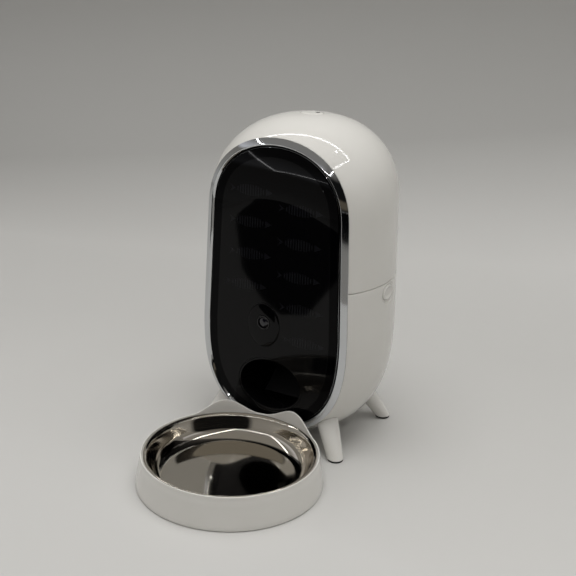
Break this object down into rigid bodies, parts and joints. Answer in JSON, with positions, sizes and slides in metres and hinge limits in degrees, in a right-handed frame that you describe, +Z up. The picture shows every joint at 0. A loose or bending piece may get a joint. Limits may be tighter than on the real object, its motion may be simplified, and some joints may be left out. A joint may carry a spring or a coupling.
{
  "type": "automatic pet feeder with camera",
  "caption": "Egg-shaped automatic dry food dispenser with a camera in its dark front, on splayed legs, with a loose eared tray and a steel bowl.",
  "frame": {"origin": "on the floor, at the middle of the whole outline", "axes": "+Z up, the window and the bowl towards -Y, the hinge towards +Y"},
  "size_m": [0.1872, 0.3322, 0.3182],
  "materials": {
    "gloss_white": "moulded gloss",
    "window_black": "gloss tinted panel",
    "black_plastic": "moulded satin",
    "inner_grey": "moulded satin",
    "chrome_trim": "bright plated",
    "polished_steel": "polished stainless",
    "plain_steel": "zinc plated",
    "dark_rubber": "moulded",
    "lens_glass": "coated",
    "circuit_board": "solder mask"
  },
  "bodies": {
    "body": {"lower_shell": "gloss_white", "hinge_pin": "plain_steel", "chrome_ring": "chrome_trim", "front_frame": "black_plastic", "window_panel": "window_black", "camera_bezel": "window_black", "lens_barrel": "black_plastic", "camera_lens": "lens_glass", "camera_housing": "inner_grey", "outlet_chute": "black_plastic", "chute_ramp": "black_plastic", "hopper": "inner_grey", "gear_motor": "inner_grey", "motor_plate": "plain_steel", "hopper_deck": "inner_grey", "main_board": "circuit_board", "power_socket": "black_plastic", "speaker": "plain_steel", "base_plate": "gloss_white", "battery_box": "black_plastic", "leg_front_left": "gloss_white", "leg_front_right": "gloss_white", "leg_rear_left": "gloss_white", "leg_rear_right": "gloss_white", "foot_pad_front_left": "dark_rubber", "foot_pad_front_right": "dark_rubber", "foot_pad_rear_left": "dark_rubber", "foot_pad_rear_right": "dark_rubber", "frame_screw_1": "plain_steel", "frame_screw_2": "plain_steel", "frame_screw_3": "plain_steel", "frame_screw_4": "plain_steel", "base_screw_1": "plain_steel", "base_screw_2": "plain_steel", "base_screw_3": "plain_steel", "base_screw_4": "plain_steel"},
    "hood": {"upper_hood": "gloss_white", "hood_liner": "inner_grey", "liner_seal": "dark_rubber", "switch_post": "inner_grey", "top_switch": "black_plastic", "top_button_spring": "plain_steel"},
    "portion_wheel": {"rotor": "inner_grey", "rotor_shaft": "plain_steel", "agitator": "inner_grey"},
    "top_push": {"top_button": "gloss_white"},
    "latch_right": {"latch_button_right": "gloss_white"},
    "latch_left": {"latch_button_left": "gloss_white"},
    "door": {"battery_door": "gloss_white"},
    "drying_cap": {"desiccant_cap": "inner_grey"},
    "tray": {"bowl_tray": "gloss_white", "tray_pad_1": "dark_rubber", "tray_pad_2": "dark_rubber", "tray_pad_3": "dark_rubber"},
    "bowl": {"steel_bowl": "polished_steel"}
  },
  "joints": [
    {"name": "hood_hinge", "type": "hinge", "parent": "body", "child": "hood", "pos_m": [0, 0.1626, 0.1687], "axis": [-1, 0, 0], "range_deg": [0, 80]},
    {"name": "rotor_spin", "type": "hinge", "parent": "body", "child": "portion_wheel", "pos_m": [0, 0.07332, 0.1], "axis": [0, 0, 1], "continuous": true},
    {"name": "top_button_press", "type": "slide", "parent": "hood", "child": "top_push", "axis": [0, 0, -1], "range_m": [0, 0.0015], "stiffness_N_per_m": 300, "deforming": ["top_button_spring"]},
    {"name": "latch_right_press", "type": "slide", "parent": "body", "child": "latch_right", "axis": [-1, 0, 0], "range_m": [0, 0.002], "stiffness_N_per_m": 300},
    {"name": "latch_left_press", "type": "slide", "parent": "body", "child": "latch_left", "axis": [1, 0, 0], "range_m": [0, 0.002], "stiffness_N_per_m": 300},
    {"name": "battery_door_drop", "type": "slide", "parent": "body", "child": "door", "axis": [0, 0, -1], "range_m": [0, 0.012]},
    {"name": "desiccant_cap_off", "type": "slide", "parent": "hood", "child": "drying_cap", "axis": [0, 0, -1], "range_m": [0, 0.02]},
    {"name": "tray_slide", "type": "slide", "parent": "body", "child": "tray", "axis": [0, -1, 0], "range_m": [0, 0.08]},
    {"name": "bowl_lift", "type": "slide", "parent": "tray", "child": "bowl", "axis": [0, 0, 1], "range_m": [0, 0.06]}
  ]
}
